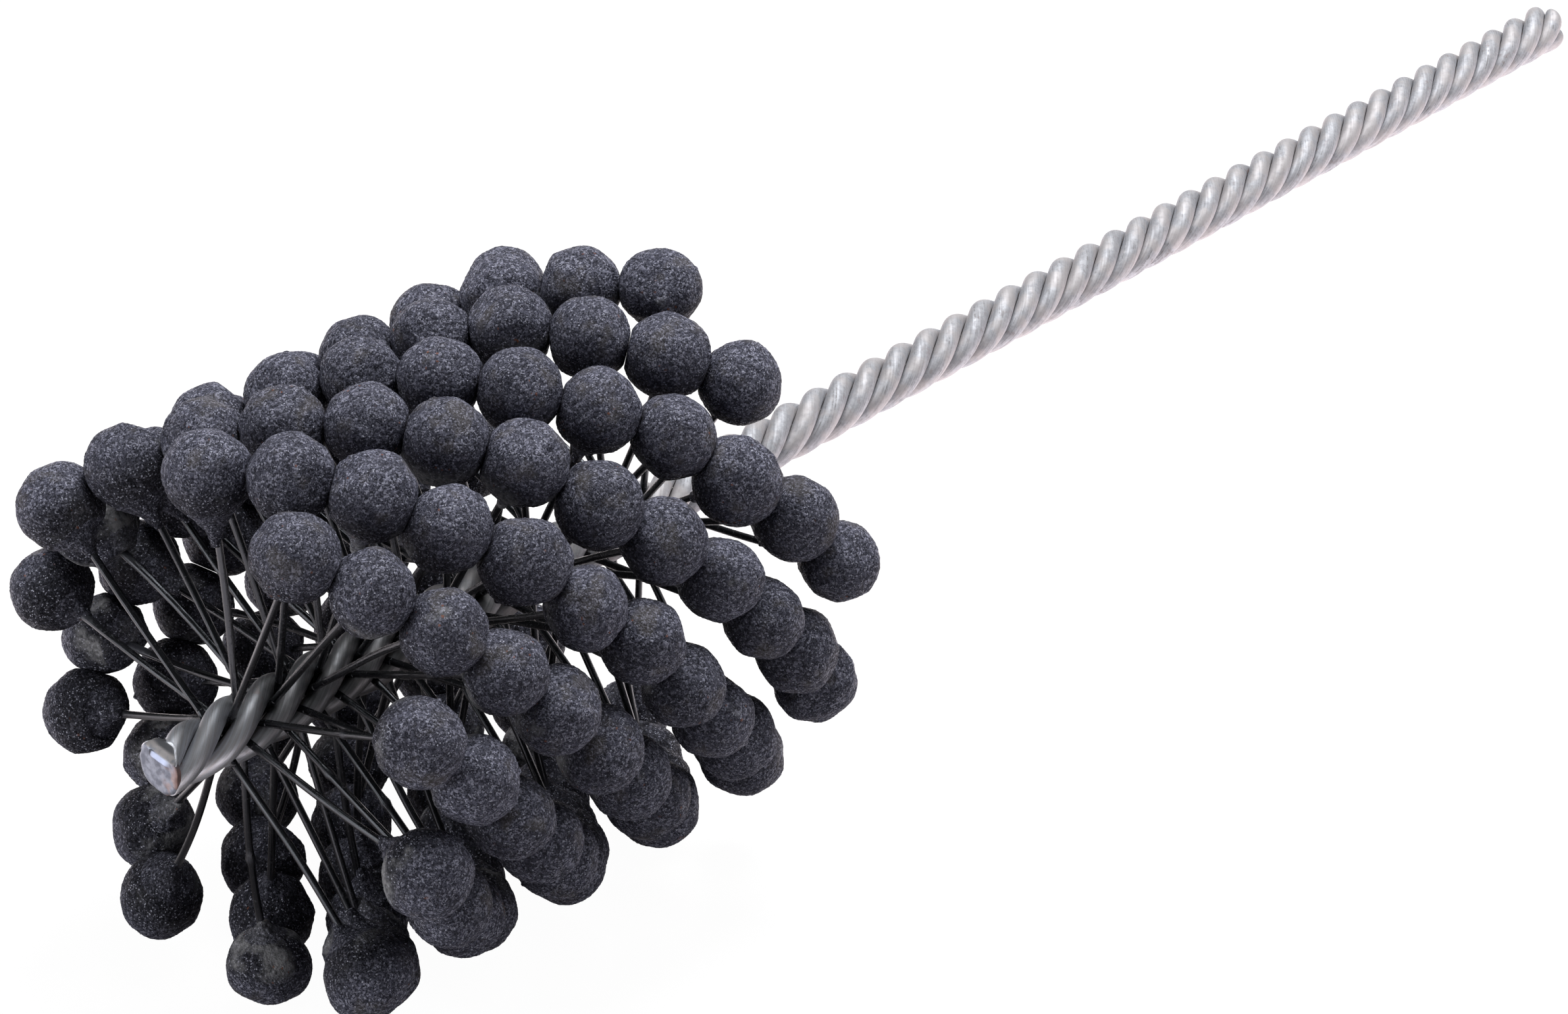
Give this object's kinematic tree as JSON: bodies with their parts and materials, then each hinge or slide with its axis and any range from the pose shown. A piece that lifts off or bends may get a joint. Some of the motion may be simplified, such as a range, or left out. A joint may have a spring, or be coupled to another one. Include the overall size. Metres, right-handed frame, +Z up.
{
  "type": "flexible ball hone",
  "caption": "Flexible ball hone: grit balls on both ends of nylon filaments twisted into a long galvanised wire stem, for honing a bore.",
  "frame": {"origin": "on the stem's axis, at the plane end face of the shank that a drill's chuck grips", "axes": "+X along the stem, out of the shank's end, away from the head and the tip; +Z up as the tool lies in the picture; +Y to the side"},
  "size_m": [0.2032, 0.0562, 0.0561],
  "materials": {
    "galvanised_wire": "drawn and galvanised, satin",
    "nylon_filament": "glossy",
    "silicon_carbide_grit": "rough, sparkling grit"
  },
  "bodies": {
    "stem": {"stem_wire_1": "galvanised_wire", "stem_wire_2": "galvanised_wire", "stem_wire_3": "galvanised_wire", "stem_wire_4": "galvanised_wire", "filament_middles": "nylon_filament"},
    "row_01": {"filament_row_01": "nylon_filament", "ball_row_01": "silicon_carbide_grit"},
    "row_02": {"filament_row_02": "nylon_filament", "ball_row_02": "silicon_carbide_grit"},
    "row_03": {"filament_row_03": "nylon_filament", "ball_row_03": "silicon_carbide_grit"},
    "row_04": {"filament_row_04": "nylon_filament", "ball_row_04": "silicon_carbide_grit"},
    "row_05": {"filament_row_05": "nylon_filament", "ball_row_05": "silicon_carbide_grit"},
    "row_06": {"filament_row_06": "nylon_filament", "ball_row_06": "silicon_carbide_grit"},
    "row_07": {"filament_row_07": "nylon_filament", "ball_row_07": "silicon_carbide_grit"},
    "row_08": {"filament_row_08": "nylon_filament", "ball_row_08": "silicon_carbide_grit"},
    "row_09": {"filament_row_09": "nylon_filament", "ball_row_09": "silicon_carbide_grit"},
    "row_10": {"filament_row_10": "nylon_filament", "ball_row_10": "silicon_carbide_grit"},
    "row_11": {"filament_row_11": "nylon_filament", "ball_row_11": "silicon_carbide_grit"},
    "row_12": {"filament_row_12": "nylon_filament", "ball_row_12": "silicon_carbide_grit"},
    "row_13": {"filament_row_13": "nylon_filament", "ball_row_13": "silicon_carbide_grit"},
    "row_14": {"filament_row_14": "nylon_filament", "ball_row_14": "silicon_carbide_grit"},
    "row_15": {"filament_row_15": "nylon_filament", "ball_row_15": "silicon_carbide_grit"},
    "row_16": {"filament_row_16": "nylon_filament", "ball_row_16": "silicon_carbide_grit"},
    "row_17": {"filament_row_17": "nylon_filament", "ball_row_17": "silicon_carbide_grit"},
    "row_18": {"filament_row_18": "nylon_filament", "ball_row_18": "silicon_carbide_grit"}
  },
  "joints": [
    {"name": "row_01_bend", "type": "hinge", "parent": "stem", "child": "row_01", "pos_m": [0, 0.0033, 0.00058], "axis": [1, 0, 0], "range_deg": [-20, 20], "stiffness_Nm_per_rad": 0.04},
    {"name": "row_02_bend", "type": "hinge", "parent": "stem", "child": "row_02", "pos_m": [0, 0.0029, 0.00167], "axis": [1, 0, 0], "range_deg": [-20, 20], "stiffness_Nm_per_rad": 0.04},
    {"name": "row_03_bend", "type": "hinge", "parent": "stem", "child": "row_03", "pos_m": [0, 0.00215, 0.00256], "axis": [1, 0, 0], "range_deg": [-20, 20], "stiffness_Nm_per_rad": 0.04},
    {"name": "row_04_bend", "type": "hinge", "parent": "stem", "child": "row_04", "pos_m": [0, 0.00114, 0.00314], "axis": [1, 0, 0], "range_deg": [-20, 20], "stiffness_Nm_per_rad": 0.04},
    {"name": "row_05_bend", "type": "hinge", "parent": "stem", "child": "row_05", "pos_m": [0, 0, 0.00335], "axis": [1, 0, 0], "range_deg": [-20, 20], "stiffness_Nm_per_rad": 0.04},
    {"name": "row_06_bend", "type": "hinge", "parent": "stem", "child": "row_06", "pos_m": [0, -0.00114, 0.00314], "axis": [1, 0, 0], "range_deg": [-20, 20], "stiffness_Nm_per_rad": 0.04},
    {"name": "row_07_bend", "type": "hinge", "parent": "stem", "child": "row_07", "pos_m": [0, -0.00215, 0.00256], "axis": [1, 0, 0], "range_deg": [-20, 20], "stiffness_Nm_per_rad": 0.04},
    {"name": "row_08_bend", "type": "hinge", "parent": "stem", "child": "row_08", "pos_m": [0, -0.0029, 0.00167], "axis": [1, 0, 0], "range_deg": [-20, 20], "stiffness_Nm_per_rad": 0.04},
    {"name": "row_09_bend", "type": "hinge", "parent": "stem", "child": "row_09", "pos_m": [0, -0.0033, 0.00058], "axis": [1, 0, 0], "range_deg": [-20, 20], "stiffness_Nm_per_rad": 0.04},
    {"name": "row_10_bend", "type": "hinge", "parent": "stem", "child": "row_10", "pos_m": [0, -0.0033, -0.00058], "axis": [1, 0, 0], "range_deg": [-20, 20], "stiffness_Nm_per_rad": 0.04},
    {"name": "row_11_bend", "type": "hinge", "parent": "stem", "child": "row_11", "pos_m": [0, -0.0029, -0.00167], "axis": [1, 0, 0], "range_deg": [-20, 20], "stiffness_Nm_per_rad": 0.04},
    {"name": "row_12_bend", "type": "hinge", "parent": "stem", "child": "row_12", "pos_m": [0, -0.00215, -0.00256], "axis": [1, 0, 0], "range_deg": [-20, 20], "stiffness_Nm_per_rad": 0.04},
    {"name": "row_13_bend", "type": "hinge", "parent": "stem", "child": "row_13", "pos_m": [0, -0.00114, -0.00314], "axis": [1, 0, 0], "range_deg": [-20, 20], "stiffness_Nm_per_rad": 0.04},
    {"name": "row_14_bend", "type": "hinge", "parent": "stem", "child": "row_14", "pos_m": [0, 0, -0.00335], "axis": [1, 0, 0], "range_deg": [-20, 20], "stiffness_Nm_per_rad": 0.04},
    {"name": "row_15_bend", "type": "hinge", "parent": "stem", "child": "row_15", "pos_m": [0, 0.00114, -0.00314], "axis": [1, 0, 0], "range_deg": [-20, 20], "stiffness_Nm_per_rad": 0.04},
    {"name": "row_16_bend", "type": "hinge", "parent": "stem", "child": "row_16", "pos_m": [0, 0.00215, -0.00256], "axis": [1, 0, 0], "range_deg": [-20, 20], "stiffness_Nm_per_rad": 0.04},
    {"name": "row_17_bend", "type": "hinge", "parent": "stem", "child": "row_17", "pos_m": [0, 0.0029, -0.00167], "axis": [1, 0, 0], "range_deg": [-20, 20], "stiffness_Nm_per_rad": 0.04},
    {"name": "row_18_bend", "type": "hinge", "parent": "stem", "child": "row_18", "pos_m": [0, 0.0033, -0.00058], "axis": [1, 0, 0], "range_deg": [-20, 20], "stiffness_Nm_per_rad": 0.04}
  ],
  "couplings": [
    {"joint": "row_02_bend", "follows": "row_01_bend", "ratio": 1},
    {"joint": "row_03_bend", "follows": "row_01_bend", "ratio": 1},
    {"joint": "row_04_bend", "follows": "row_01_bend", "ratio": 1},
    {"joint": "row_05_bend", "follows": "row_01_bend", "ratio": 1},
    {"joint": "row_06_bend", "follows": "row_01_bend", "ratio": 1},
    {"joint": "row_07_bend", "follows": "row_01_bend", "ratio": 1},
    {"joint": "row_08_bend", "follows": "row_01_bend", "ratio": 1},
    {"joint": "row_09_bend", "follows": "row_01_bend", "ratio": 1},
    {"joint": "row_10_bend", "follows": "row_01_bend", "ratio": 1},
    {"joint": "row_11_bend", "follows": "row_01_bend", "ratio": 1},
    {"joint": "row_12_bend", "follows": "row_01_bend", "ratio": 1},
    {"joint": "row_13_bend", "follows": "row_01_bend", "ratio": 1},
    {"joint": "row_14_bend", "follows": "row_01_bend", "ratio": 1},
    {"joint": "row_15_bend", "follows": "row_01_bend", "ratio": 1},
    {"joint": "row_16_bend", "follows": "row_01_bend", "ratio": 1},
    {"joint": "row_17_bend", "follows": "row_01_bend", "ratio": 1},
    {"joint": "row_18_bend", "follows": "row_01_bend", "ratio": 1}
  ]
}
